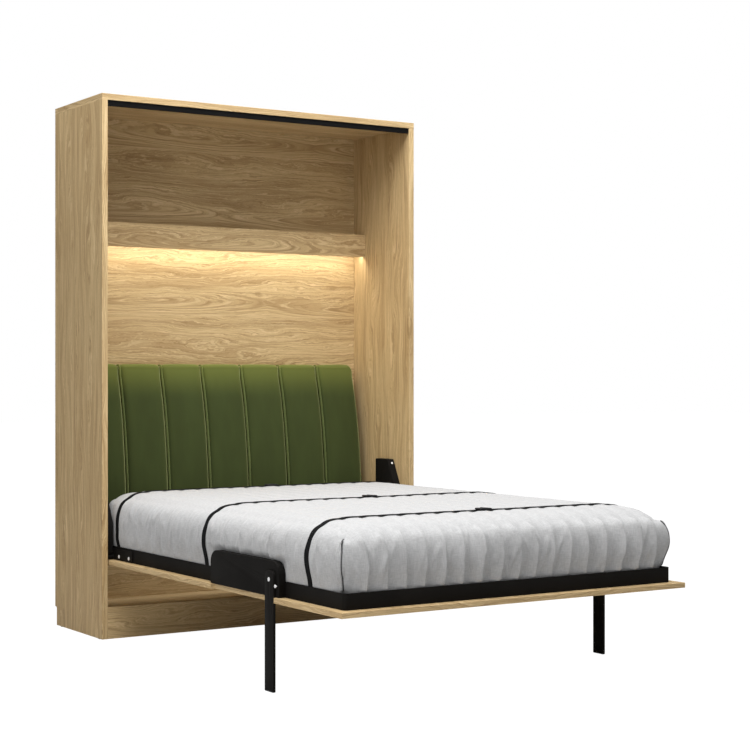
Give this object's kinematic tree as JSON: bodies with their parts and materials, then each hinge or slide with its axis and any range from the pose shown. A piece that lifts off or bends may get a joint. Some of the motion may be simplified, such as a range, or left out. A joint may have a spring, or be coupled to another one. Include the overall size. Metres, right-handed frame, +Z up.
{
  "type": "murphy wall bed",
  "caption": "Vertical wall bed: oak cabinet with lit shelf and channelled headboard, steel bed frame that folds up on gas springs, folding legs and strapped mattress.",
  "frame": {"origin": "on the floor, in the middle of the footprint of the cabinet and the open bed together", "axes": "+X right, +Y back to the wall (depth), +Z up; the bed opens towards -Y"},
  "size_m": [1.49, 2.252, 2.17],
  "materials": {
    "oak": "matt oak decor",
    "oak_core": "plain",
    "black_steel": "fine black powder coat",
    "black_trim": "satin black",
    "bright_steel": "zinc plated",
    "led_aluminium": "anodised",
    "led_board": "satin",
    "led_light": "glowing diffuser",
    "velvet": "green velvet",
    "mattress_cover": "quilted knit",
    "strap_elastic": "black elastic webbing",
    "black_plastic": "matt",
    "birch": "sealed",
    "spring_black": "gloss black",
    "chrome_rod": "polished"
  },
  "bodies": {
    "cabinet": {"side_panel_left": "oak", "side_panel_right": "oak", "top_panel": "oak", "bottom_board": "oak", "plinth_board": "oak", "back_panel_lower": "oak", "back_panel_upper": "oak", "shelf_board": "oak", "shelf_lip": "oak", "top_trim": "black_trim", "cabinet_dowels": "birch", "cam_fittings": "bright_steel", "floor_glides": "black_plastic", "wall_strap": "bright_steel", "back_screws": "bright_steel", "led_profile": "led_aluminium", "led_strip": "led_board", "led_diffuser": "led_light", "headboard_board": "oak_core", "headboard_cushion": "velvet", "mechanism_plate_left": "black_steel", "mechanism_plate_right": "black_steel", "mechanism_cover_left": "black_steel", "mechanism_cover_right": "black_steel", "pivot_pin_left": "bright_steel", "pivot_pin_right": "bright_steel", "pivot_bushes": "black_plastic", "mechanism_screws": "bright_steel"},
    "bed": {"front_panel": "oak", "foot_rail": "black_steel", "head_rail": "black_steel", "side_rail_left": "black_steel", "side_rail_right": "black_steel", "centre_rail": "black_steel", "bed_slats": "birch", "slat_holders": "black_plastic", "pivot_arm_left": "black_steel", "pivot_arm_right": "black_steel", "leg_bracket_left": "black_steel", "leg_bracket_right": "black_steel", "arm_screws": "bright_steel", "bracket_screws": "bright_steel", "leg_pivot_bolts": "bright_steel", "leg_stop_bolts": "bright_steel", "mattress": "mattress_cover", "mattress_straps": "strap_elastic", "strap_buckles": "black_plastic"},
    "leg_left": {"leg_left": "black_steel", "leg_foot_left": "black_plastic"},
    "gas_cylinder_left": {"gas_cylinder_left": "spring_black"},
    "gas_rod_left": {"gas_rod_left": "chrome_rod"},
    "leg_right": {"leg_right": "black_steel", "leg_foot_right": "black_plastic"},
    "gas_cylinder_right": {"gas_cylinder_right": "spring_black"},
    "gas_rod_right": {"gas_rod_right": "chrome_rod"}
  },
  "joints": [
    {"name": "bed_fold", "type": "hinge", "parent": "cabinet", "child": "bed", "pos_m": [0, 0.6685, 0.3265], "axis": [-1, 0, 0], "range_deg": [0, 90]},
    {"name": "leg_fold_left", "type": "hinge", "parent": "bed", "child": "leg_left", "pos_m": [-0.71, -0.663, 0.373], "axis": [1, 0, 0], "range_deg": [0, 90]},
    {"name": "spring_swing_left", "type": "hinge", "parent": "cabinet", "child": "gas_cylinder_left", "pos_m": [-0.702, 0.789, 0.64], "axis": [-1, 0, 0], "range_deg": [0, 2.29]},
    {"name": "spring_stroke_left", "type": "slide", "parent": "gas_cylinder_left", "child": "gas_rod_left", "axis": [0, -0.1784, -0.984], "range_m": [0, 0.10987]},
    {"name": "leg_fold_right", "type": "hinge", "parent": "bed", "child": "leg_right", "pos_m": [0.71, -0.663, 0.373], "axis": [1, 0, 0], "range_deg": [0, 90]},
    {"name": "spring_swing_right", "type": "hinge", "parent": "cabinet", "child": "gas_cylinder_right", "pos_m": [0.702, 0.789, 0.64], "axis": [-1, 0, 0], "range_deg": [0, 2.29]},
    {"name": "spring_stroke_right", "type": "slide", "parent": "gas_cylinder_right", "child": "gas_rod_right", "axis": [0, -0.1784, -0.984], "range_m": [0, 0.10987]}
  ],
  "couplings": [
    {"joint": "leg_fold_left", "follows": "bed_fold", "ratio": 1},
    {"joint": "spring_swing_left", "follows": "bed_fold", "ratio": 0.025452},
    {"joint": "spring_stroke_left", "follows": "bed_fold", "m_per_rad": 0.069948},
    {"joint": "leg_fold_right", "follows": "bed_fold", "ratio": 1},
    {"joint": "spring_swing_right", "follows": "bed_fold", "ratio": 0.025452},
    {"joint": "spring_stroke_right", "follows": "bed_fold", "m_per_rad": 0.069948}
  ]
}
